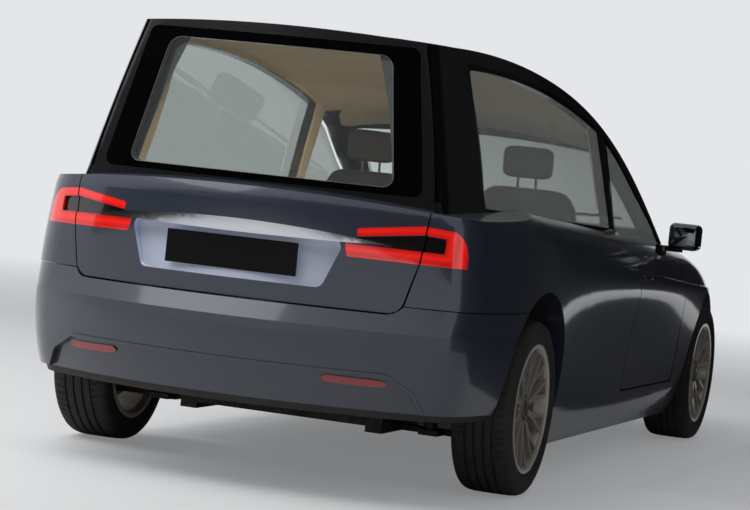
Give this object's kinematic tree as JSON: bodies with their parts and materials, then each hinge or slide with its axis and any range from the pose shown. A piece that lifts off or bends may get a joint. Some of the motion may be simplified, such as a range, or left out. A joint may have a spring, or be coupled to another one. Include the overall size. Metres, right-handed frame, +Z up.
{
  "type": "hearse",
  "caption": "Estate-bodied electric hearse with long side windows, lifting tailgate, hinged front doors and hood, a roller load floor and steered front wheels.",
  "frame": {"origin": "on the ground under the middle of the car, halfway between its sides and its ends", "axes": "+Y towards the rear, +X to the car's left side, +Z up"},
  "size_m": [2.156, 5.5065, 1.762],
  "materials": {
    "body_paint": "gloss metallic",
    "black_gloss": "gloss",
    "black_trim": "matte",
    "glass": "polished",
    "lamp_red": "gloss",
    "lamp_clear": "polished",
    "chrome": "polished",
    "alloy": "satin",
    "tyre": "matte",
    "underbody": "satin",
    "forged_steel": "satin",
    "casting": "satin",
    "lining": "matte",
    "leather": "satin",
    "deck": "brushed",
    "plate": "gloss"
  },
  "bodies": {
    "body": {"floor_pan": "underbody", "battery_pack": "casting", "drive_unit": "casting", "front_bumper": "body_paint", "front_fenders": "body_paint", "quarter_panels": "body_paint", "sills": "body_paint", "rear_bumper": "body_paint", "rear_valance": "black_trim", "roof": "black_gloss", "windshield": "glass", "side_windows": "glass", "tail_lamps": "lamp_red", "headlamps": "lamp_clear", "wheel_liners": "black_trim", "cowl_panel": "black_trim", "load_floor": "deck", "cabin_lining": "lining", "front_seats": "leather", "dashboard": "black_trim", "steering_wheel": "leather", "front_suspension": "forged_steel", "rear_suspension": "forged_steel"},
    "hood": {"hood": "body_paint"},
    "left_door": {"left_door": "body_paint", "left_door_glass": "glass", "left_mirror": "black_gloss"},
    "right_door": {"right_door": "body_paint", "right_door_glass": "glass", "right_mirror": "black_gloss"},
    "tailgate": {"tailgate": "body_paint", "rear_window": "glass", "tailgate_lamps": "lamp_red", "tailgate_trim": "chrome", "number_plate": "plate"},
    "left_knuckle": {"left_knuckle": "forged_steel"},
    "right_knuckle": {"right_knuckle": "forged_steel"},
    "front_left_wheel": {"front_left_tyre": "tyre", "front_left_wheel": "alloy"},
    "front_right_wheel": {"front_right_tyre": "tyre", "front_right_wheel": "alloy"},
    "rear_left_wheel": {"rear_left_tyre": "tyre", "rear_left_wheel": "alloy"},
    "rear_right_wheel": {"rear_right_tyre": "tyre", "rear_right_wheel": "alloy"}
  },
  "joints": [
    {"name": "left_steer", "type": "hinge", "parent": "body", "child": "left_knuckle", "pos_m": [0.77, -1.83, 0.3515], "axis": [0, 0, 1], "range_deg": [-35, 35]},
    {"name": "right_steer", "type": "hinge", "parent": "body", "child": "right_knuckle", "pos_m": [-0.77, -1.83, 0.3515], "axis": [0, 0, 1], "range_deg": [-35, 35]},
    {"name": "front_left_spin", "type": "hinge", "parent": "left_knuckle", "child": "front_left_wheel", "pos_m": [0.831, -1.83, 0.3515], "axis": [1, 0, 0], "continuous": true},
    {"name": "rear_left_spin", "type": "hinge", "parent": "body", "child": "rear_left_wheel", "pos_m": [0.85, 1.67, 0.3515], "axis": [1, 0, 0], "continuous": true},
    {"name": "front_right_spin", "type": "hinge", "parent": "right_knuckle", "child": "front_right_wheel", "pos_m": [-0.831, -1.83, 0.3515], "axis": [1, 0, 0], "continuous": true},
    {"name": "rear_right_spin", "type": "hinge", "parent": "body", "child": "rear_right_wheel", "pos_m": [-0.85, 1.67, 0.3515], "axis": [1, 0, 0], "continuous": true},
    {"name": "left_door_swing", "type": "hinge", "parent": "body", "child": "left_door", "pos_m": [0.898, -1.09, 0.64], "axis": [0, 0, -1], "range_deg": [0, 65]},
    {"name": "right_door_swing", "type": "hinge", "parent": "body", "child": "right_door", "pos_m": [-0.898, -1.09, 0.64], "axis": [0, 0, 1], "range_deg": [0, 65]},
    {"name": "hood_lift", "type": "hinge", "parent": "body", "child": "hood", "pos_m": [0, -1.47, 0.94], "axis": [-1, 0, 0], "range_deg": [0, 60]},
    {"name": "tailgate_lift", "type": "hinge", "parent": "body", "child": "tailgate", "pos_m": [0, 2.19, 1.708], "axis": [1, 0, 0], "range_deg": [0, 75]}
  ],
  "couplings": [
    {"joint": "right_steer", "follows": "left_steer", "ratio": 1}
  ]
}
